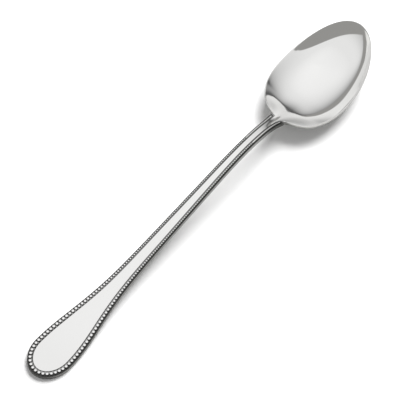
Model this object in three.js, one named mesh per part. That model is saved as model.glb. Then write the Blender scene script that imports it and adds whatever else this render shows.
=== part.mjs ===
// Infant feeding spoon in polished steel, with a beaded border round its handle.
// Millimetres. +X runs from the handle's end to the tip of the bowl, +Y is the left side when the bowl
// points away, +Z is up. The spoon lies on the plane Z = 0, on the belly of its bowl and its handle's end.
import * as THREE from 'three';
import { mergeVertices } from 'three/addons/utils/BufferGeometryUtils.js';

const { clamp, lerp, smoothstep } = THREE.MathUtils;

// Handle, with places measured from its end.
const handleLength = 111.1;
const tailWidth = 13.8;
const tailWidest = 8.8;
const flareLength = 13.9;
const shankWidth = 5.9;
const shankStart = 21;
const neckWidth = 3.8;
const neckLength = 11.3;
const heelWidth = 4.6;
const heelFlare = 2.2;
const tailThickness = 2;
const neckThickness = 2.4;
const underEdgeLift = 0.1;
const underEdgeStart = 0.6;
const underEdgeInset = 0.12;

// Side line of the handle: level where it rests, a straight rise, then a fall to the bowl.
const restLength = 8;
const easeLength = 14.2;
const neckRun = 32.3;
const neckDrop = 6.6;
const heelSink = 0.41;

// Bowl. The rim sags between heel and tip, and the tip stands higher than the heel.
const bowlLength = 38.9;
const bowlWidth = 25.6;
const bowlDepth = 4.686;
const eggTaper = 0.122;
const eggFullness = 0.079;
const rimSag = 3.9;
const tipLift = 5;
const bellyWall = 2.4;
const rimWall = 0.95;
const floorLevel = 2.364;
const rimEdgeInset = 0.25;

// Inside of the bowl: how much fuller than a plain dish it is, as sums of rising powers of the place along
// the bowl, for its middle line, for its sides and for its edge.
const middleFullness = [1, -0.093, 0.97, 0.405];
const sideFullness = [0.497, 1.091, 1.396];
const edgeFullness = [-0.483, -0.174];

// Where handle and bowl flow into each other, with a throat that leads from one face down to the other.
const rollStart = 2.3;
const rollEnd = 7.8;
const throatReach = 8;
const throatEase = 4;
const throatNarrow = 1.1;
const throatWide = 4.5;
const throatWidening = 4.2;
const backDropLength = 8;
const backDropSpread = 2.4;

// Beaded border. The beads shrink from the tail to the shank and end in a plain rail at the neck.
const tailBeadPitch = 1.25;
const shankBeadPitch = 0.755;
const shrinkStart = 14;
const shrinkEnd = 58;
const beadFill = 0.92;
const gapShare = 0.55;
const beadProud = 0.18;
const gapSunk = 0.06;
const railProud = 0.05;
const plainRailLength = 13.5;
const railEndSetback = 2;
const ledgeDepth = 0.3;
const ledgeRunout = 0.9;
const beadSeat = 0.1;
const endArcBeads = 6;
const rowEndClearance = 0.06;

// Section of a bead: widths and heights as shares of its own, and its crown in pitches.
const footShare = 0.8;
const shoulderShare = 0.6;
const crownHalf = 0.2;
const railShare = 0.85;

// Border from the outer edge to the flat face, narrowing along the handle, the step down from the face,
// and the place of the bead line as a share of the border's width.
const tailBorder = 1.82;
const shankBorder = 1.22;
const narrowStart = 12;
const narrowEnd = 62;
const stepWidth = 0.1;
const beadLineShare = 0.48;

// Where the spoon is divided into its regions.
const tailEnd = 46;
const neckStart = 92;
const bowlSeamSetback = 1.6;

// Sections through the steel: how they fan out round the ends, their columns from the middle line to
// the rim, the first column that lies on the bead ledge, and their number in each region.
const endFanStart = 0.72;
const tipFan = 0.6;
const heelFanAngle = THREE.MathUtils.degToRad(120);
const bowlColumns = [0, 0.18, 0.43, 0.62, 0.74, 0.83, 0.92, 1];
const ledgeColumn = 5;
const tailSteps = 9;
const flareSteps = 13;
const shankSteps = 12;
const neckSteps = 10;
const heelSteps = 3;
const rimSteps = 30;
const railSteps = 8;

// Fineness of the measured bead line, of the bowl's measured slope and of the search for its corner.
const trackTailSteps = 120;
const trackSideSteps = 900;
const slopeStep = 0.01;
const cornerHalvings = 40;
const weldDistance = 1e-4;

const overallLength = handleLength + bowlLength;
const bowlMiddle = handleLength + bowlLength / 2;
const bowlSeam = handleLength - bowlSeamSetback;
const railEnd = handleLength - railEndSetback;
const beadEnd = handleLength - plainRailLength;

// Rim and inside of the bowl. c runs from -1 at the heel to 1 at the tip, and s from -1 to 1 across.
const tilt = tipLift / 2;
const rimMiddle = floorLevel + bowlDepth;
const along = (x) => (x - bowlMiddle) / (bowlLength / 2);
const rimHeight = (c) => rimMiddle + tilt * c + rimSag * c * c;
const eggHalf = (c) => bowlWidth / 2 * (1 - eggTaper * c + eggFullness * c * c);

function bowlTop(x, y) {
  const c = along(x);
  const s = y / eggHalf(c);
  const series = (terms) => terms.reduceRight((sum, term) => sum * c + term, 0);
  const fullness = series(middleFullness) + series(sideFullness) * s ** 2 + series(edgeFullness) * s ** 4;
  return rimHeight(c) - bowlDepth * (1 - c * c - s * s) * fullness;
}

function bowlThickness(x, y) {
  const c = along(x);
  const slopeX = (bowlTop(x + slopeStep, y) - bowlTop(x - slopeStep, y)) / (2 * slopeStep);
  const slopeY = (bowlTop(x, y + slopeStep) - bowlTop(x, y - slopeStep)) / (2 * slopeStep);
  const outward = Math.min(1, c * c + (y / eggHalf(c)) ** 2);
  return lerp(bellyWall, rimWall, outward) * Math.hypot(1, slopeX, slopeY);
}

// Handle: half width, height of its flat face and thickness at a distance from its end.
function handleHalf(x) {
  if (x < tailWidest) return tailWidth / 2 * Math.sqrt(1 - ((tailWidest - x) / tailWidest) ** 2);
  const shank = lerp(shankWidth, neckWidth, smoothstep(x, shankStart, handleLength - neckLength)) / 2;
  const flare = (tailWidth - shankWidth) / 2 * Math.exp(-0.5 * ((x - tailWidest) / flareLength) ** 2);
  const heel = (heelWidth - neckWidth) / 2 * Math.exp(-0.5 * ((x - handleLength) / heelFlare) ** 2);
  return shank + flare + heel;
}

function rise(x) {
  const run = Math.max(0, x - restLength);
  return run < easeLength ? run * run / (2 * easeLength) : run - easeLength / 2;
}

const fall = (x) => neckDrop * (Math.max(0, x - handleLength + neckRun) / neckRun) ** 3;
const handleSlope = (rimHeight(-1) - heelSink - tailThickness + neckDrop) / rise(handleLength);
const handleTop = (x) => tailThickness + handleSlope * rise(x) - fall(x);

function handleThickness(x) {
  return lerp(tailThickness, neckThickness, smoothstep(x, restLength + easeLength, handleLength));
}

// Middle line of the throat: a cubic that leaves the handle's face and meets the bowl's floor, each with
// that face's own slope.
const throatStart = handleLength - throatReach;
const throatEnd = handleLength + throatReach;
const dishLine = (x) => bowlTop(x, 0);
const slopeOf = (line, x) => (line(x + slopeStep) - line(x - slopeStep)) / (2 * slopeStep);

function throatLine(x) {
  const run = throatEnd - throatStart;
  const t = (x - throatStart) / run;
  const leave = handleTop(throatStart) * (1 + 2 * t) + run * slopeOf(handleTop, throatStart) * t;
  const meet = dishLine(throatEnd) * (3 - 2 * t) + run * slopeOf(dishLine, throatEnd) * (t - 1);
  return leave * (1 - t) ** 2 + meet * t ** 2;
}

// The whole upper face and the metal below it: the handle rolls over into the bowl, the throat is cut
// through both, and the handle's underside runs out along the back of the bowl as a narrow drop.
function upperFace(x, y) {
  const share = smoothstep(x, handleLength - rollStart, handleLength + rollEnd);
  const face = lerp(handleTop(x), bowlTop(x, y), share);
  const widening = smoothstep(x, handleLength - throatWidening, handleLength + throatWidening);
  const begun = smoothstep(x, throatStart - throatEase, throatStart + throatEase);
  const over = smoothstep(x, throatEnd - throatEase / 2, throatEnd + throatEase);
  const cut = begun * (1 - over) * Math.exp(-((y / lerp(throatNarrow, throatWide, widening)) ** 2));
  return lerp(face, throatLine(x), cut);
}

function handleShare(x, y) {
  const runout = 1 - smoothstep(x, handleLength - bowlSeamSetback / 2, handleLength + backDropLength);
  const narrow = smoothstep(x, handleLength - bowlSeamSetback / 2, handleLength + bowlSeamSetback / 2);
  return runout * lerp(1, Math.exp(-((y / backDropSpread) ** 2)), narrow);
}

function lowerFace(x, y, edgeShare) {
  const share = handleShare(x, y);
  const lift = underEdgeLift * smoothstep(edgeShare, underEdgeStart, 1) * share;
  return Math.max(0, upperFace(x, y) - lerp(bowlThickness(x, y), handleThickness(x), share) + lift);
}

// Size of the beads, and of the border that they stand in.
function beadPitch(x) {
  return lerp(tailBeadPitch, shankBeadPitch, smoothstep(x, shrinkStart, shrinkEnd));
}
function borderWidth(x) {
  return lerp(tailBorder, shankBorder, smoothstep(x, narrowStart, narrowEnd));
}
const beadRadius = (x) => beadFill * beadPitch(x) / 2;
const ledge = (x) => ledgeDepth * (1 - smoothstep(x, railEnd, railEnd + ledgeRunout));

// Half of the outline as stations: a point on the edge, and the point on the middle line from which
// the section through it starts. Sections are square to the handle, and fan out round its end,
// round the heel of the bowl and round its tip.
function eggPoint(angle) {
  const c = Math.cos(angle);
  return [bowlMiddle + bowlLength / 2 * c, eggHalf(c) * Math.sin(angle)];
}

// The angle at which the bowl's outline leaves the side of the neck.
function heelCorner() {
  let low = heelFanAngle;
  let high = Math.PI;
  for (let i = 0; i < cornerHalvings; i += 1) {
    const middle = (low + high) / 2;
    const [x, y] = eggPoint(middle);
    if (y > handleHalf(x)) low = middle;
    else high = middle;
  }
  return low;
}
const cornerAngle = heelCorner();
const cornerX = eggPoint(cornerAngle)[0];

function tailStations(count) {
  return Array.from({ length: count }, (_, i) => {
    const angle = Math.PI / 2 * i / count;
    const x = tailWidest * (1 - Math.cos(angle));
    const spine = tailWidest * (1 - (1 - endFanStart) * Math.cos(angle));
    return { x, y: tailWidth / 2 * Math.sin(angle), spine };
  });
}

function handleStations(from, to, count) {
  return Array.from({ length: count + 1 }, (_, i) => {
    const x = lerp(from, to, i / count);
    return { x, y: handleHalf(x), spine: x };
  });
}

function bowlStations(count) {
  return Array.from({ length: count }, (_, i) => {
    const angle = cornerAngle * (1 - (i + 1) / count);
    const [x, y] = eggPoint(angle);
    const heelward = clamp((angle - heelFanAngle) / (cornerAngle - heelFanAngle), 0, 1);
    const spine = lerp(bowlMiddle, x, lerp(tipFan, 1, heelward));
    return { x, y: i + 1 < count ? y : 0, spine };
  });
}

// One section of the steel: columns across the upper face from right to left, and back underneath.
function columnsAt(station) {
  const reach = Math.hypot(station.x - station.spine, station.y);
  const border = borderWidth(station.x);
  const face = 1 - border / reach;
  const step = 1 - (border - stepWidth) / reach;
  const handle = [0, face / 4, face / 2, face * 3 / 4, face, step, (step + 1) / 2, 1];
  const share = smoothstep(station.x, railEnd, cornerX);
  return handle.map((value, i) => lerp(value, bowlColumns[i], share));
}

function section(station) {
  const columns = columnsAt(station);
  const reach = Math.hypot(station.x - station.spine, station.y);
  const edgeInset = lerp(underEdgeInset, rimEdgeInset, smoothstep(station.x, bowlSeam, cornerX));
  const place = (share) => [lerp(station.spine, station.x, Math.abs(share)), station.y * share];
  const above = (share, index) => {
    const [x, y] = place(share);
    return [x, y, upperFace(x, y) - (index >= ledgeColumn ? ledge(x) : 0)];
  };
  const below = (share) => {
    const [x, y] = place(Math.sign(share) * Math.min(Math.abs(share), 1 - edgeInset / reach));
    return [x, y, lowerFace(x, y, Math.abs(share))];
  };
  const left = columns.map((share, i) => above(share, i));
  const right = columns.map((share, i) => above(-share, i)).slice(1).reverse();
  const leftUnder = columns.map((share) => below(share)).reverse();
  const rightUnder = columns.map((share) => below(-share)).slice(1);
  return [...right, ...left, ...leftUnder, ...rightUnder];
}

// A closed solid through a row of sections. A flat end gets a cap, a strip between the two halves of its
// ring, and an end that is folded onto the middle line closes by itself.
function loft(rings, capStart, capEnd) {
  const count = rings[0].length;
  const positions = rings.flat(2);
  const indices = [];
  for (let r = 0; r + 1 < rings.length; r += 1) {
    for (let i = 0; i < count; i += 1) {
      const a = r * count + i;
      const b = r * count + (i + 1) % count;
      indices.push(a, a + count, b, b, a + count, b + count);
    }
  }
  const zip = (corner) => {
    for (let i = 0, j = count - 1; i + 1 < j; i += 1, j -= 1) {
      indices.push(corner(i), corner(i + 1), corner(j));
      if (i + 1 < j - 1) indices.push(corner(i + 1), corner(j - 1), corner(j));
    }
  };
  const last = rings.length * count - 1;
  if (capStart) zip((i) => i);
  if (capEnd) zip((i) => last - i);
  const geometry = new THREE.BufferGeometry();
  geometry.setAttribute('position', new THREE.Float32BufferAttribute(positions, 3));
  geometry.setIndex(indices);
  const merged = mergeVertices(geometry, weldDistance);
  merged.computeVertexNormals();
  return merged;
}

// Middle line of the bead row on the left side, from the handle's end to the neck, with the number of
// bead pitches passed so far.
function beadLine() {
  const edge = [...tailStations(trackTailSteps), ...handleStations(tailWidest, railEnd, trackSideSteps)];
  const points = edge.map((station, i) => {
    const before = edge[Math.max(0, i - 1)];
    const after = edge[Math.min(edge.length - 1, i + 1)];
    const outward = i === 0
      ? new THREE.Vector2(-1, 0)
      : new THREE.Vector2(before.y - after.y, after.x - before.x).normalize();
    const inset = beadLineShare * borderWidth(station.x);
    return { x: station.x - inset * outward.x, y: station.y - inset * outward.y, outward };
  });
  let passed = 0;
  return points.map((point, i) => {
    const before = points[Math.max(0, i - 1)];
    passed += Math.hypot(point.x - before.x, point.y - before.y) / beadPitch(point.x);
    return { ...point, passed };
  });
}
const beadTrack = beadLine();
const beadCount = Math.floor(beadTrack.find((point) => point.x > beadEnd).passed);

// A place on the bead line where a number of pitches has been passed; a negative number is on the right.
function onTrack(passed) {
  const target = Math.abs(passed);
  const next = Math.max(1, beadTrack.findIndex((point) => point.passed >= target));
  const [from, to] = [beadTrack[next - 1], beadTrack[next]];
  const share = (target - from.passed) / (to.passed - from.passed);
  const outward = from.outward.clone().lerp(to.outward, share).normalize();
  const side = Math.sign(passed) || 1;
  return {
    x: lerp(from.x, to.x, share),
    y: side * lerp(from.y, to.y, share),
    outward: new THREE.Vector2(outward.x, side * outward.y),
  };
}

// Section of a bead or of the rail: a flat foot on the ledge and a dome above it.
function beadRing(passed, width, proud) {
  const { x, y, outward } = onTrack(passed);
  const top = upperFace(x, y);
  const foot = top - ledgeDepth + beadSeat;
  const at = (offset, z) => [x + offset * outward.x, y + offset * outward.y, z];
  const shoulder = lerp(foot, top + proud, shoulderShare);
  return [
    at(-width * footShare, foot),
    at(-width, shoulder),
    at(0, top + proud),
    at(width, shoulder),
    at(width * footShare, foot),
  ];
}

// Rings of the beads from one number of pitches to another, with the beads' middles at whole numbers.
function beadRings(first, last) {
  const rings = [];
  for (let bead = first; bead <= last; bead += 1) {
    const radius = beadRadius(onTrack(bead).x);
    const start = bead - 0.5 + (bead === first ? rowEndClearance : 0);
    rings.push(beadRing(start, radius * gapShare, -gapSunk));
    rings.push(beadRing(bead - crownHalf, radius, beadProud));
    rings.push(beadRing(bead + crownHalf, radius, beadProud));
  }
  return rings;
}

function endArcRings() {
  const radius = beadRadius(onTrack(endArcBeads).x);
  const last = beadRing(endArcBeads + 0.5 - rowEndClearance, radius * gapShare, -gapSunk);
  return [...beadRings(-endArcBeads, endArcBeads), last];
}

// A row runs from the end arc along the left edge, and its last beads give way to the plain rail.
function rowRings() {
  const railHalf = beadRadius(handleLength) * railShare;
  const railStart = beadCount + 0.5;
  const railFinish = beadTrack.at(-1).passed;
  const rings = beadRings(endArcBeads + 1, beadCount);
  for (let i = 0; i <= railSteps; i += 1) {
    rings.push(beadRing(lerp(railStart, railFinish, i / railSteps), railHalf, railProud));
  }
  return rings;
}

const mirrored = (rings) => rings.map((ring) => ring.map(([x, y, z]) => [x, -y, z]).reverse());

// Sections of the steel, and the regions that they are divided into.
const tail = [...tailStations(tailSteps), ...handleStations(tailWidest, tailEnd, flareSteps)];
const shank = handleStations(tailEnd, neckStart, shankSteps);
const neck = handleStations(neckStart, bowlSeam, neckSteps);
const bowl = [...handleStations(bowlSeam, cornerX, heelSteps), ...bowlStations(rimSteps)];

function steel(color, roughness) {
  return new THREE.MeshStandardMaterial({ color, roughness, metalness: 1 });
}

function piece(name, geometry, material) {
  const mesh = new THREE.Mesh(geometry, material);
  mesh.name = name;
  return mesh;
}

const spoon = new THREE.Group();
spoon.position.x = -overallLength / 2;
spoon.add(
  piece('bowl', loft(bowl.map(section), true, false), steel(0xdededb, 0.06)),
  piece('neck', loft(neck.map(section), true, true), steel(0xdcdcd9, 0.07)),
  piece('shank', loft(shank.map(section), true, true), steel(0xdcdcd9, 0.07)),
  piece('handle_end', loft(tail.map(section), false, true), steel(0xdcdcd9, 0.08)),
  piece('bead_row_left', loft(rowRings(), true, true), steel(0xd2d2cf, 0.1)),
  piece('bead_row_right', loft(mirrored(rowRings()), true, true), steel(0xd2d2cf, 0.1)),
  piece('bead_arc_end', loft(endArcRings(), true, true), steel(0xd2d2cf, 0.1)),
);

const part = new THREE.Group();
part.add(spoon);

export default part;
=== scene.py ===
import bpy
import numpy as np
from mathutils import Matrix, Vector


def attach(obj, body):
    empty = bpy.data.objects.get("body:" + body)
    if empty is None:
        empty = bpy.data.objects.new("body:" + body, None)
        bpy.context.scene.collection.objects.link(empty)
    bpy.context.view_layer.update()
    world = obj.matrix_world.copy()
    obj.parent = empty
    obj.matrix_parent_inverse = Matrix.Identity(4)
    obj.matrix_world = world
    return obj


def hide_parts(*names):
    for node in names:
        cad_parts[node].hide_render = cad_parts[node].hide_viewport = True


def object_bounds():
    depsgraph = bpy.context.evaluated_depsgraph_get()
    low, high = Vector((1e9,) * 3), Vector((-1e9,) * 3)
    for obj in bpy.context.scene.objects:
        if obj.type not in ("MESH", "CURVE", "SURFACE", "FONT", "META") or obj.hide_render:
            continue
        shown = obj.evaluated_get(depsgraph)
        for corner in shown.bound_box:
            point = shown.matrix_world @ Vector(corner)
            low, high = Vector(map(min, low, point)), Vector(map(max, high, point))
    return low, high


# Infant feeding spoon in polished steel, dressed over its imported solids. Metres. x in the formulas is
# measured from the end of the handle, y to the left when the bowl points away, z up from the table.
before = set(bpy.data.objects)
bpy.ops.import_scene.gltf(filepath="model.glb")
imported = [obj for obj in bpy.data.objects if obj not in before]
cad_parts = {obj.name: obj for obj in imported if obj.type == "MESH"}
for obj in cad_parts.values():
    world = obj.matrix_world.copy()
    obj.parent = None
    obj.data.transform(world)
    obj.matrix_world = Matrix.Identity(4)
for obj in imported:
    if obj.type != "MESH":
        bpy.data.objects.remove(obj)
cadLow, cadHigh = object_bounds()
handleEnd = cadLow.x
print("frame loaded:", ", ".join(sorted(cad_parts)))

handle = {
    "length": 0.1111, "tailWidth": 0.0138, "tailWidest": 0.0088, "flareLength": 0.0139,
    "shankWidth": 0.0059, "shankStart": 0.021, "neckWidth": 0.0038, "neckLength": 0.0113,
    "heelWidth": 0.0046, "heelFlare": 0.0022, "tailThickness": 0.002, "neckThickness": 0.0024,
    "restLength": 0.008, "easeLength": 0.0142, "climb": 0.1317, "neckRun": 0.0323, "neckDrop": 0.0066,
    "edgeRound": 0.00014, "underRound": 0.00022,
}
bowl = {
    "length": 0.0389, "width": 0.0256, "depth": 0.004686, "eggTaper": 0.122, "eggFullness": 0.079,
    "rimLevel": 0.00705, "rimSag": 0.0039, "tipLift": 0.005, "bellyWall": 0.0024, "rimWall": 0.00095,
    "dishMiddle": (0.405, 0.97, -0.093, 1), "dishSides": (1.396, 1.091, 0.497),
    "dishEdge": (-0.174, -0.483), "rollStart": 0.0023, "rollEnd": 0.0078, "reachPastRim": 1.2,
    "slopeStep": 0.00001,
    "backDropLength": 0.008, "backDropSpread": 0.0024, "backDropEase": 0.0008,
    "rimBand": 0.0011, "rimRound": 0.0003, "underRound": 0.00032,
}
# The throat's line is a cubic of the distance from its middle, with the highest power first.
throat = {
    "middle": 0.111, "line": (1354, -3.44, -0.575, 0.00708),
    "start": (0.099, 0.108), "end": (0.117, 0.123),
    "narrow": 0.0011, "wide": 0.0045, "widening": (0.1075, 0.116),
}
border = {
    "tailPitch": 0.00125, "shankPitch": 0.000755, "shrinkStart": 0.014, "shrinkEnd": 0.058,
    # the last pair on the next line is the groove's painted shade, at the tail and on the shank
    "tailFill": 0.92, "shankFill": 0.76, "grooveShade": (0.55, 0.75),
    "tailWidth": 0.00182, "shankWidth": 0.00122, "narrowStart": 0.012, "narrowEnd": 0.062,
    "beadLine": 0.48, "tailStep": 0.00035, "shankStep": 0.0001,
    "ledgeDepth": 0.0003, "ledgeRunout": 0.0009, "railSetback": 0.001, "plainRail": 0.0135,
}
regions = {"tailEnd": 0.046, "neckStart": 0.092, "bowlSeam": 0.1095}
railEnd = handle["length"] - border["railSetback"]
bowlMiddle = handle["length"] + bowl["length"] / 2


def smooth(x, start, end):
    # 0 before start, 1 after end, and 3t^2 - 2t^3 between them
    t = np.clip((x - start) / (end - start), 0, 1)
    return t * t * (3 - 2 * t)


def between(a, b, share):
    return a + (b - a) * share


def bell(x, width):
    return np.exp(-0.5 * (x / width) ** 2)


def rimHeight(c):
    # a sagging parabola, tilted up to the tip; c runs from -1 at the heel to 1 at the tip
    return bowl["rimLevel"] + bowl["tipLift"] / 2 * c + bowl["rimSag"] * c * c


def eggHalf(c):
    return bowl["width"] / 2 * (1 - bowl["eggTaper"] * c + bowl["eggFullness"] * c * c)


def eggPoint(angle):
    # an ellipse whose half width changes along it
    c = np.cos(angle)
    return bowlMiddle + bowl["length"] / 2 * c, eggHalf(c) * np.sin(angle)


def bowlShares(x, y):
    c = (x - bowlMiddle) / (bowl["length"] / 2)
    return c, y / eggHalf(np.clip(c, -bowl["reachPastRim"], bowl["reachPastRim"]))


def bowlTop(x, y):
    # a dish under the rim, 1 - c^2 - s^2 deep, times polynomials of c for its middle, sides and edge
    c, s = bowlShares(x, y)
    middle = np.polyval(bowl["dishMiddle"], c)
    sides = np.polyval(bowl["dishSides"], c)
    edge = np.polyval(bowl["dishEdge"], c)
    return rimHeight(c) - bowl["depth"] * (1 - c * c - s * s) * (middle + sides * s ** 2 + edge * s ** 4)


def bowlThickness(x, y):
    # the wall thins from the belly to the rim, measured square to the slope
    step = bowl["slopeStep"]
    c, s = bowlShares(x, y)
    slopeX = (bowlTop(x + step, y) - bowlTop(x - step, y)) / (2 * step)
    slopeY = (bowlTop(x, y + step) - bowlTop(x, y - step)) / (2 * step)
    wall = between(bowl["bellyWall"], bowl["rimWall"], np.minimum(1, c * c + s * s))
    return wall * np.sqrt(1 + slopeX ** 2 + slopeY ** 2)


def handleHalf(x):
    # a quarter ellipse round the end, then a bell-shaped flare on a shank that narrows to the neck
    widest = handle["tailWidest"]
    tail = handle["tailWidth"] / 2 * np.sqrt(np.clip(1 - ((widest - x) / widest) ** 2, 0, 1))
    narrowing = smooth(x, handle["shankStart"], handle["length"] - handle["neckLength"])
    shank = between(handle["shankWidth"], handle["neckWidth"], narrowing) / 2
    flare = (handle["tailWidth"] - handle["shankWidth"]) / 2 * bell(x - widest, handle["flareLength"])
    heelGain = (handle["heelWidth"] - handle["neckWidth"]) / 2
    heel = heelGain * bell(x - handle["length"], handle["heelFlare"])
    return np.where(x < widest, tail, shank + flare + heel)


def handleRise(x):
    # level, then an eased start, then a straight slope of 1
    run = np.maximum(0, x - handle["restLength"])
    ease = handle["easeLength"]
    return np.where(run < ease, run * run / (2 * ease), run - ease / 2)


def handleTop(x):
    # the straight rise less a cubic fall towards the bowl
    run = np.maximum(0, x - handle["length"] + handle["neckRun"]) / handle["neckRun"]
    return handle["tailThickness"] + handle["climb"] * handleRise(x) - handle["neckDrop"] * run ** 3


def handleThickness(x):
    thicker = smooth(x, handle["restLength"] + handle["easeLength"], handle["length"])
    return between(handle["tailThickness"], handle["neckThickness"], thicker)


def upperFace(x, y):
    # the handle's face gives way to the dish, and a throat with a cubic middle line leads from one to
    # the other
    share = smooth(x, handle["length"] - bowl["rollStart"], handle["length"] + bowl["rollEnd"])
    face = between(handleTop(x), bowlTop(x, y), share)
    spread = between(throat["narrow"], throat["wide"], smooth(x, *throat["widening"]))
    cut = smooth(x, *throat["start"]) * (1 - smooth(x, *throat["end"])) * np.exp(-((y / spread) ** 2))
    return between(face, np.polyval(throat["line"], x - throat["middle"]), cut)


def lowerFace(x, y):
    # the handle's underside runs out along the back of the bowl as a narrow drop
    start = handle["length"] - bowl["backDropEase"]
    runout = 1 - smooth(x, start, handle["length"] + bowl["backDropLength"])
    narrow = smooth(x, start, handle["length"] + bowl["backDropEase"])
    share = runout * between(1, np.exp(-((y / bowl["backDropSpread"]) ** 2)), narrow)
    return np.maximum(0, upperFace(x, y) - between(bowlThickness(x, y), handleThickness(x), share))


def beadShrink(x):
    # 0 where the beads are largest, 1 where they are smallest
    return smooth(x, border["shrinkStart"], border["shrinkEnd"])


def borderNarrow(x):
    # 0 where the border is widest, 1 where it is narrowest
    return smooth(x, border["narrowStart"], border["narrowEnd"])


def beadPitch(x):
    return between(border["tailPitch"], border["shankPitch"], beadShrink(x))


def beadRadius(x):
    return between(border["tailFill"], border["shankFill"], beadShrink(x)) * beadPitch(x) / 2


def borderWidth(x):
    return between(border["tailWidth"], border["shankWidth"], borderNarrow(x))


def stepWidth(x):
    return between(border["tailStep"], border["shankStep"], borderNarrow(x))


def ledgeDrop(x):
    return border["ledgeDepth"] * (1 - smooth(x, railEnd, railEnd + border["ledgeRunout"]))


# Half outline as stations: a point on the edge, and the place on the middle line where its section
# starts.
stationCount = {"tail": 56, "flare": 90, "shank": 90, "neck": 56, "heel": 10, "rim": 170}
fan = {"end": 0.72, "tip": 0.6, "heelAngle": np.radians(120), "searchSteps": 200001}


def heelCorner():
    # the angle at which the bowl's outline leaves the side of the neck
    angles = np.linspace(fan["heelAngle"], np.pi, fan["searchSteps"])
    x, y = eggPoint(angles)
    return angles[np.argmax(y < handleHalf(x))]


cornerAngle = heelCorner()
cornerX = eggPoint(cornerAngle)[0]


def outlineStations():
    widest = handle["tailWidest"]
    tailAngle = np.linspace(0, np.pi / 2, stationCount["tail"], endpoint=False)
    tailX = widest * (1 - np.cos(tailAngle))
    tailSpine = widest * (1 - (1 - fan["end"]) * np.cos(tailAngle))
    stops = [widest, regions["tailEnd"], regions["neckStart"], regions["bowlSeam"], cornerX]
    counts = [stationCount[name] for name in ("flare", "shank", "neck", "heel")]
    runs = [np.linspace(a, b, n, endpoint=False) for a, b, n in zip(stops, stops[1:], counts)]
    handleX = np.concatenate(runs + [[cornerX]])
    rimAngle = cornerAngle * np.linspace(1, 0, stationCount["rim"] + 1)[1:]
    rimX, rimY = eggPoint(rimAngle)
    heelward = np.clip((rimAngle - fan["heelAngle"]) / (cornerAngle - fan["heelAngle"]), 0, 1)
    rimSpine = between(bowlMiddle, rimX, between(fan["tip"], 1, heelward))
    edgeX = np.concatenate([tailX, handleX, rimX])
    edgeY = np.concatenate([handle["tailWidth"] / 2 * np.sin(tailAngle), handleHalf(handleX), rimY])
    edgeY[[0, -1]] = 0
    seams = stationCount["tail"] + np.cumsum(counts[:3])
    return edgeX, edgeY, np.concatenate([tailSpine, handleX, rimSpine]), seams


sectionCount = {"face": 26, "groove": 5, "shelf": 4, "lip": 5, "wall": 3, "under": 14}


def steelSkin():
    # half a section, from the middle line over face, groove, bead shelf, rounded edge and side wall and
    # back underneath, carried along the outline; the other half is its mirror image
    edgeX, edgeY, spineX, seams = outlineStations()
    reach = np.hypot(edgeX - spineX, edgeY)[:, None]
    inBowl = smooth(edgeX, railEnd, cornerX)[:, None]
    width = borderWidth(edgeX)[:, None]
    topRound = between(handle["edgeRound"], bowl["rimRound"], inBowl)
    lowRound = between(handle["underRound"], bowl["underRound"], inBowl)
    faceReach = reach - between(width, bowl["rimBand"], inBowl)
    stepReach = faceReach + stepWidth(edgeX)[:, None]
    quarter = np.linspace(0, np.pi / 2, sectionCount["lip"])
    grooveShare = np.linspace(0, 1, sectionCount["groove"] + 1)[1:]
    shelfShare = np.linspace(0, 1, sectionCount["shelf"] + 1)[1:]
    face = faceReach * np.linspace(0, 1, sectionCount["face"])
    groove = between(faceReach, stepReach, grooveShare)
    shelf = between(stepReach, reach - topRound, shelfShare)
    lip = reach - topRound + topRound * np.sin(quarter[1:])
    under = (reach - lowRound) * np.linspace(1, 0, sectionCount["under"])
    turn = reach - lowRound + lowRound * np.cos(quarter[:-1])
    dropShare = np.concatenate([
        np.zeros(face.shape[1]), smooth(grooveShare, 0, 1), np.ones(shelf.shape[1] + lip.shape[1]),
    ])

    def place(across):
        share = across / reach
        return between(spineX[:, None], edgeX[:, None], share), edgeY[:, None] * share

    upper = np.hstack([face, groove, shelf, lip])
    x, y = place(upper)
    beforeLip = np.zeros_like(upper[:, :-lip.shape[1]])
    rounding = np.hstack([beforeLip, topRound * (1 - np.cos(quarter[1:]))])
    upperZ = upperFace(x, y) - ledgeDrop(x) * dropShare - rounding
    lowX, lowY = place(under)
    underZ = lowerFace(lowX, lowY)
    turnZ = underZ[:, :1] + lowRound * (1 - np.sin(quarter[:-1]))
    wallShare = np.linspace(0, 1, sectionCount["wall"] + 2)[1:-1]
    wallZ = between(upperZ[:, -1:], turnZ[:, :1], wallShare)
    across = np.hstack([upper, reach + 0 * wallShare, turn, under])
    z = np.hstack([upperZ, wallZ, turnZ, underZ])
    x, y = place(across)
    half = np.stack([x + handleEnd, y, z], axis=-1)
    # painted shade in the recess: the groove and the first column of the shelf get less of it than the
    # rest of the recess
    shadeAmount = dropShare * between(*border["grooveShade"], borderNarrow(edgeX)[:, None])
    shadeAmount[:, -lip.shape[1] - shelf.shape[1] + 1:] = 1
    recessShade = np.hstack([shadeAmount, np.zeros_like(z[:, upper.shape[1]:])]) * (1 - inBowl)
    # painted shade on the side walls: the flank mark lets the material grey them
    wallRows = np.zeros(z.shape[1])
    wallRows[upper.shape[1] - 2:-sectionCount["under"]] = 1
    flankShade = wallRows * (1 - inBowl)
    mirrored = (half * [1, -1, 1])[:, -2:0:-1]
    ring = np.concatenate([half, mirrored], axis=1)
    marks = {name: np.hstack([v, v[:, -2:0:-1]]) for name, v in (("recessShade", recessShade), ("flankShade", flankShade))}
    return ring, marks, seams


def ringFaces(index):
    # quads between neighbouring rings, closed round the ring
    following = np.roll(index, -1, axis=1)
    return np.stack([index[:-1], index[1:], following[1:], following[:-1]], axis=-1).reshape(-1, 4)


def smoothNormals(points, quads):
    # the area-weighted mean of the faces round each point; a point of no face keeps zero
    corner = points[quads]
    normal = np.cross(corner[:, 2] - corner[:, 0], corner[:, 3] - corner[:, 1])
    total = np.zeros_like(points)
    np.add.at(total, quads.ravel(), np.repeat(normal, 4, axis=0))
    length = np.linalg.norm(total, axis=1, keepdims=True)
    return total / np.where(length > 0, length, 1)


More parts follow.
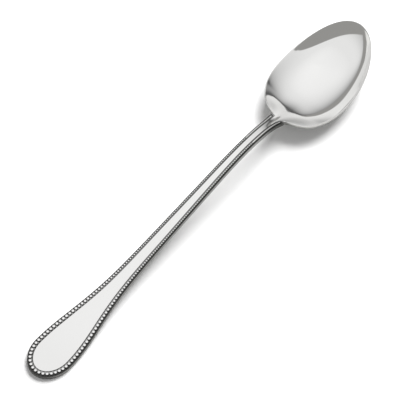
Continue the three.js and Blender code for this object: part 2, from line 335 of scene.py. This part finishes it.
def meshPiece(name, points, faces, marks=None):
    mesh = bpy.data.meshes.new(name)
    mesh.from_pydata(points.tolist(), [], faces)
    mesh.polygons.foreach_set("use_smooth", [True] * len(mesh.polygons))
    for mark, values in (marks or {}).items():
        layer = mesh.attributes.new(mark, "FLOAT", "POINT")
        layer.data.foreach_set("value", np.ascontiguousarray(values, dtype=np.float32))
    mesh.update()
    made = bpy.data.objects.new(name, mesh)
    bpy.context.scene.collection.objects.link(made)
    return made


def standFor(made, node, material):
    made.data.materials.append(material)
    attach(made, "root")
    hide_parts(node)


class Wire:
    # a socket of a node tree, so that shader maths reads as Python
    def __init__(self, tree, socket=None):
        self.tree = tree
        self.socket = socket

    # any node: its settings first, then a value or a link for each socket that is named
    def add(self, kind, settings=None, sockets=None, output=0):
        made = self.tree.nodes.new(kind)
        for name, value in (settings or {}).items():
            if name == "stops":
                self.setStops(made.color_ramp.elements, value)
            else:
                setattr(made, name, value)
        for name, value in (sockets or {}).items():
            if isinstance(value, Wire):
                self.tree.links.new(value.socket, made.inputs[name])
            else:
                made.inputs[name].default_value = value
        return Wire(self.tree, made.outputs[output] if made.outputs else None)

    def setStops(self, elements, stops):
        for i, (place, level) in enumerate(stops):
            stop = elements[i] if i < 2 else elements.new(place)
            stop.position = place
            stop.color = (level, level, level, 1)

    def sibling(self, output):
        return Wire(self.tree, self.socket.node.outputs[output])

    def math(self, operation, *values):
        return self.add("ShaderNodeMath", {"operation": operation}, dict(enumerate(values)))

    def mix(self, a, b, factor):
        return self.add("ShaderNodeMix", {"data_type": "RGBA"}, {0: factor, 6: a, 7: b}, 2)

    def ease(self, start, end):
        limits = {"Value": self, "From Min": start, "From Max": end}
        return self.add("ShaderNodeMapRange", {"interpolation_type": "SMOOTHSTEP"}, limits)

    def __add__(self, other):
        return self.math("ADD", self, other)

    def __radd__(self, other):
        return self.math("ADD", other, self)

    def __sub__(self, other):
        return self.math("SUBTRACT", self, other)

    def __rsub__(self, other):
        return self.math("SUBTRACT", other, self)

    def __mul__(self, other):
        return self.math("MULTIPLY", self, other)

    def __rmul__(self, other):
        return self.math("MULTIPLY", other, self)

    def __truediv__(self, other):
        return self.math("DIVIDE", self, other)

    def __rtruediv__(self, other):
        return self.math("DIVIDE", other, self)


def newTree(owner):
    owner.use_nodes = True
    owner.node_tree.nodes.clear()
    return Wire(owner.node_tree)


# the second and third colours are painted shade, for the recesses and for the side walls
polish = {
    "bright": (0.895, 0.893, 0.885, 1), "recessShadeColour": (0.065, 0.065, 0.063, 1), "flankShade": (0.6, 0.597, 0.588, 1),
    "roughness": 0.055, "roughnessSpread": 0.03, "recessRoughness": 0.2,
    "smudgeScale": 90, "smudgeDetail": 3, "scratchScale": 900, "scratchDetail": 4,
    "scratchStretch": (0.06, 1, 1), "scratchHeight": 0.000002, "scratchStrength": 0.25,
}


def steelMaterial(name, look):
    # bright metal, greyed by painted shade where the flank mark says so, darkened by painted shade and
    # made duller where the recess mark does, with smudges in its gloss and fine polishing lines along the
    # spoon
    material = bpy.data.materials.new(name)
    tree = newTree(material)
    place = tree.add("ShaderNodeTexCoord", output="Object")
    recessShade = tree.add("ShaderNodeAttribute", {"attribute_name": "recessShade"}, output="Fac")
    flankShade = tree.add("ShaderNodeAttribute", {"attribute_name": "flankShade"}, output="Fac")
    smudge = tree.add("ShaderNodeTexNoise", {}, {
        "Vector": place, "Scale": look["smudgeScale"], "Detail": look["smudgeDetail"],
    })
    stretched = tree.add("ShaderNodeMapping", {}, {"Vector": place, "Scale": look["scratchStretch"]})
    lines = tree.add("ShaderNodeTexNoise", {}, {
        "Vector": stretched, "Scale": look["scratchScale"], "Detail": look["scratchDetail"],
    })
    # painted shade: the flank mark greys the side walls, the recess mark darkens the recesses
    colour = tree.mix(look["bright"], look["flankShade"], flankShade)
    colour = tree.mix(colour, look["recessShadeColour"], recessShade)
    uneven = look["roughnessSpread"] * (smudge - 0.5)
    gloss = look["roughness"] + uneven + look["recessRoughness"] * recessShade
    bump = tree.add("ShaderNodeBump", {}, {
        "Height": lines, "Strength": look["scratchStrength"], "Distance": look["scratchHeight"],
    })
    shader = tree.add("ShaderNodeBsdfPrincipled", {}, {
        "Base Color": colour, "Metallic": 1, "Roughness": gloss, "Normal": bump,
    })
    tree.add("ShaderNodeOutputMaterial", {}, {"Surface": shader})
    return material


polishedSteel = steelMaterial("polished steel", polish)
# the beads and rails get a brighter copy of the steel, a painted highlight
highlightedBeadSteel = steelMaterial("beaded steel", {**polish, "bright": (0.97, 0.968, 0.96, 1)})
print("finishes made: polished steel, beaded steel")


def addSteel():
    ring, marks, seams = steelSkin()
    stations, ringSize, _ = ring.shape
    points = ring.reshape(-1, 3)
    halfSize = ringSize // 2 + 1
    index = np.arange(stations * ringSize).reshape(stations, ringSize)
    for row in (0, -1):  # the two ends are folded onto the middle line
        index[row, halfSize:] = index[row, halfSize - 2:0:-1]
    normals = smoothNormals(points, ringFaces(index))
    cuts = [0, *seams, stations - 1]
    nodes = ("handle_end", "shank", "neck", "bowl")
    for i, node in enumerate(nodes):
        rows = index[cuts[i]:cuts[i + 1] + 1]
        used, rows = np.unique(rows, return_inverse=True)
        rows = rows.reshape(-1, ringSize)
        quads = ringFaces(rows)
        caps, capNormals = [], []
        if i > 0:
            caps.append(rows[0].tolist())
            capNormals += [[-1, 0, 0]] * ringSize
        if i < len(nodes) - 1:
            caps.append(rows[-1][::-1].tolist())
            capNormals += [[1, 0, 0]] * ringSize
        faces = quads.tolist() + caps
        chosen = {name: values.ravel()[used] for name, values in marks.items()}
        made = meshPiece("polished_" + node, points[used], faces, chosen)
        loops = normals[used][quads.ravel()].tolist() + capNormals
        made.data.normals_split_custom_set(loops)
        standFor(made, node, polishedSteel)
        print("steel:", made.name, len(faces), "faces")


addSteel()

beads = {
    "proudShare": 0.32, "railProud": 0.00008, "sunk": 0.00002, "railShare": 0.85,
    "endArc": 6, "around": 10, "reach": (0.97, 1.0, 0.92, 0.68), "height": (0.0, 0.36, 0.74, 0.94),
    # the two ranges after the bead shapes set where painted shade fades out, up a bead's skirt and up a
    # rail's sides
    "skirtShade": (0.72, 0.94), "railShade": (0.4, 0.8),
    "railSteps": 44, "railArc": 9, "railTaper": 0.05, "railTip": 0.02,
    "endTrackSteps": 120, "sideTrackSteps": 900,
}


def beadTrack():
    # the left edge moved inwards by a share of the border's width, with the number of pitches passed
    # along it
    angle = np.linspace(0, np.pi / 2, beads["endTrackSteps"], endpoint=False)
    sideX = np.linspace(handle["tailWidest"], railEnd, beads["sideTrackSteps"])
    edgeX = np.concatenate([handle["tailWidest"] * (1 - np.cos(angle)), sideX])
    edgeY = np.concatenate([handle["tailWidth"] / 2 * np.sin(angle), handleHalf(sideX)])
    outward = np.stack([-np.gradient(edgeY), np.gradient(edgeX)], axis=-1)
    outward[0] = (-1, 0)
    outward /= np.linalg.norm(outward, axis=1, keepdims=True)
    inset = border["beadLine"] * borderWidth(edgeX)
    x = edgeX - inset * outward[:, 0]
    y = edgeY - inset * outward[:, 1]
    lengths = np.hypot(np.diff(x), np.diff(y)) / beadPitch(x[1:])
    return x, y, outward, np.concatenate([[0], np.cumsum(lengths)])


trackX, trackY, trackOut, trackPassed = beadTrack()
beadCount = int(np.interp(handle["length"] - border["plainRail"], trackX, trackPassed))


def onTrack(passed):
    # place and outward direction after a number of pitches; negative numbers are on the right side
    ahead = np.abs(passed)
    side = np.where(passed < 0, -1, 1)
    x, y, outX, outY = (np.interp(ahead, trackPassed, v) for v in (trackX, trackY, *trackOut.T))
    return x, side * y, outX, side * outY


def beadDomes(passed):
    # each bead is a dome: four rings up from the ledge, given as shares of its radius and height, and a
    # crown; its skirt carries painted shade through the recess mark
    x, y, _, _ = onTrack(np.asarray(passed, dtype=float))
    turn = np.linspace(0, 2 * np.pi, beads["around"], endpoint=False)
    height = np.array(beads["height"])
    spread = beadRadius(x)[:, None, None] * np.array(beads["reach"])[None, :, None]
    px = x[:, None, None] + spread * np.cos(turn)
    py = y[:, None, None] + spread * np.sin(turn)
    foot = -border["ledgeDepth"] - beads["sunk"]
    proud = beads["proudShare"] * beadRadius(x)
    pz = handleTop(px) + between(foot, proud[:, None], height)[:, :, None]
    domes = np.stack([px, py, pz], axis=-1).reshape(len(x), -1, 3)
    crowns = np.stack([x, y, handleTop(x) + proud], axis=-1)[:, None]
    points = np.concatenate([domes, crowns], axis=1)
    around, size = beads["around"], points.shape[1]
    index = np.arange(size - 1).reshape(len(height), around)
    sides = ringFaces(index)[:, ::-1]
    top = np.stack([index[-1], np.roll(index[-1], -1), np.full(around, size - 1)], axis=-1)
    one = sides.tolist() + top.tolist() + [index[0][::-1].tolist()]
    faces = [[corner + k * size for corner in face] for k in range(len(x)) for face in one]
    recessShade = np.append(np.repeat(1 - smooth(height, *beads["skirtShade"]), around), 0)
    return points.reshape(-1, 3), faces, np.tile(recessShade, len(x))


def plainRail(side):
    # a half-round strip on the ledge from the last bead to the neck, rounded off at both ends
    share = np.linspace(0, 1, beads["railSteps"])
    x, y, outX, outY = onTrack(side * between(beadCount + 0.5, trackPassed[-1], share))
    y, outY = side * np.abs(y), side * np.abs(outY)
    fromEnd = np.clip(np.minimum(share, 1 - share) / beads["railTaper"], beads["railTip"], 1)
    taper = np.sqrt(1 - (1 - fromEnd) ** 2)[:, None]
    arc = np.linspace(0, np.pi, beads["railArc"])
    width = beads["railShare"] * beadRadius(handle["length"]) * taper * np.cos(arc)
    foot = -border["ledgeDepth"] - beads["sunk"]
    lift = (beads["railProud"] - foot) * taper * np.sin(arc) + foot
    px = x[:, None] + width * outX[:, None]
    py = y[:, None] + width * outY[:, None]
    points = np.stack([px, py, upperFace(px, py) + lift], axis=-1)
    index = np.arange(points.shape[0] * points.shape[1]).reshape(points.shape[:2])
    faces = ringFaces(index).tolist() + [index[0].tolist(), index[-1][::-1].tolist()]
    if side > 0:
        faces = [face[::-1] for face in faces]
    # painted shade along the rail's foot and thin ends, fading up its sides, through the recess mark
    recessShade = 1 - smooth(taper * np.sin(arc), *beads["railShade"])
    return points.reshape(-1, 3), faces, recessShade.ravel()


def addBeads():
    first = beads["endArc"] + 1
    rows = {
        "bead_arc_end": (np.arange(-beads["endArc"], first), 0),
        "bead_row_left": (np.arange(first, beadCount + 1), 1),
        "bead_row_right": (-np.arange(first, beadCount + 1), -1),
    }
    for node, (passed, side) in rows.items():
        points, faces, recessShade = beadDomes(passed)
        if side:
            railPoints, railFaces, railRecessShade = plainRail(side)
            faces += [[corner + len(points) for corner in face] for face in railFaces]
            points = np.concatenate([points, railPoints])
            recessShade = np.concatenate([recessShade, railRecessShade])
        points[:, 0] += handleEnd
        made = meshPiece("pearl_" + node, points, faces, {"recessShade": recessShade})
        standFor(made, node, highlightedBeadSteel)
        print("beads:", made.name, len(passed), "beads")


addBeads()

studio = {
    "farAzimuth": 15, "farBlend": (-0.45, 0.35), "floorDimming": 0.55,
    "panelEdges": [(232.5, 1.195), (74.7, 2.72)], "edgeSoftness": 0.02,
    "edgeGrey": (0.32, 0.3168, 0.3072, 1), "leastLevel": 0.000001,
    "side": [(0.0, 0.4), (0.15, 0.6), (0.25, 0.69), (0.35, 0.76), (0.45, 0.82), (0.6, 0.86), (0.8, 0.86),
             (1.0, 0.95)],
    "far": [(0.0, 0.57), (0.12, 0.57), (0.16, 0.45), (0.2, 0.2), (0.24, 0.1), (0.29, 0.15), (0.34, 0.33),
            (0.43, 0.5), (0.54, 0.64), (0.6, 0.7), (0.7, 0.79), (0.8, 0.86), (0.9, 0.93), (1.0, 0.98)],
}


def addWorld():
    # the room that the steel mirrors: bright overhead, grey beyond two straight edges, and on the far side
    # a dark band a little above a paler horizon; the camera itself sees plain white
    world = bpy.data.worlds.new("studio")
    bpy.context.scene.world = world
    tree = newTree(world)
    way = tree.add("ShaderNodeTexCoord", output="Generated")
    x = tree.add("ShaderNodeSeparateXYZ", {}, {0: way}, "X")
    y, z = x.sibling("Y"), x.sibling("Z")

    def towards(azimuth):
        return x * np.cos(np.radians(azimuth)) + y * np.sin(np.radians(azimuth))

    level = tree.math("SQRT", x * x + y * y + studio["leastLevel"])
    away = (towards(studio["farAzimuth"]) / level).ease(*studio["farBlend"])
    sides = tree.add("ShaderNodeValToRGB", {"stops": studio["side"]}, {0: z})
    far = tree.add("ShaderNodeValToRGB", {"stops": studio["far"]}, {0: z})
    room = tree.mix(sides, far, away)
    for azimuth, distance in studio["panelEdges"]:
        beyond = (towards(azimuth) - distance * z).ease(-studio["edgeSoftness"], studio["edgeSoftness"])
        room = tree.mix(room, studio["edgeGrey"], beyond)
    seen = tree.add("ShaderNodeLightPath", output="Is Camera Ray")
    shown = tree.mix(room, (1, 1, 1, 1), seen)
    strength = 1 - studio["floorDimming"] * seen.sibling("Is Diffuse Ray")
    lit = tree.add("ShaderNodeBackground", {}, {"Color": shown, "Strength": strength})
    tree.add("ShaderNodeOutputWorld", {}, {"Surface": lit})


table = {
    "half": 1.5, "below": 0.00001, "colour": (0.97, 0.97, 0.97, 1), "mirrored": (0.5, 0.5, 0.49, 1),
    "roughness": 0.8,
}


def addTable():
    # the steel mirrors a greyer table than the one that the camera sees
    half, z = table["half"], cadLow.z - table["below"]
    corners = np.array([(-half, -half, z), (half, -half, z), (half, half, z), (-half, half, z)])
    made = meshPiece("table_top", corners, [[0, 1, 2, 3]])
    material = bpy.data.materials.new("pale table")
    tree = newTree(material)
    mirrored = tree.add("ShaderNodeLightPath", output="Is Glossy Ray")
    colour = tree.mix(table["colour"], table["mirrored"], mirrored)
    shader = tree.add("ShaderNodeBsdfDiffuse", {}, {"Color": colour, "Roughness": table["roughness"]})
    tree.add("ShaderNodeOutputMaterial", {}, {"Surface": shader})
    made.data.materials.append(material)


lamp = {"azimuth": 8, "zenith": 40, "distance": 0.9, "size": 0.6, "power": 15}


def addLamp():
    data = bpy.data.lights.new("overhead panel", "AREA")
    data.energy = lamp["power"]
    data.size = lamp["size"]
    made = bpy.data.objects.new("overhead panel", data)
    azimuth, zenith = np.radians([lamp["azimuth"], lamp["zenith"]])
    back = Vector((np.cos(azimuth) * np.sin(zenith), np.sin(azimuth) * np.sin(zenith), np.cos(zenith)))
    made.location = back * lamp["distance"]
    made.rotation_mode = "QUATERNION"
    made.rotation_quaternion = (-back).to_track_quat("-Z", "Y")
    made.visible_glossy = False
    bpy.context.scene.collection.objects.link(made)


viewpoint = {
    "azimuth": -48.94, "elevation": 61.04, "distance": 1.5, "lookAt": (0, 0, 0.005),
    "lens": 448.7, "sensor": 36, "clipStart": 0.01,
}


def addCamera():
    data = bpy.data.cameras.new("camera")
    data.sensor_width = viewpoint["sensor"]
    data.lens = viewpoint["lens"]
    data.clip_start = viewpoint["clipStart"]
    made = bpy.data.objects.new("camera", data)
    turn, lift = np.radians([viewpoint["azimuth"], viewpoint["elevation"]])
    back = Vector((np.sin(turn) * np.cos(lift), -np.cos(turn) * np.cos(lift), np.sin(lift)))
    made.location = Vector(viewpoint["lookAt"]) + back * viewpoint["distance"]
    made.rotation_mode = "QUATERNION"
    made.rotation_quaternion = (-back).to_track_quat("-Z", "Y")
    bpy.context.scene.collection.objects.link(made)
    bpy.context.scene.camera = made


addWorld()
addTable()
addLamp()
addCamera()
bpy.context.scene.view_settings.view_transform = "Standard"
print("studio set up")
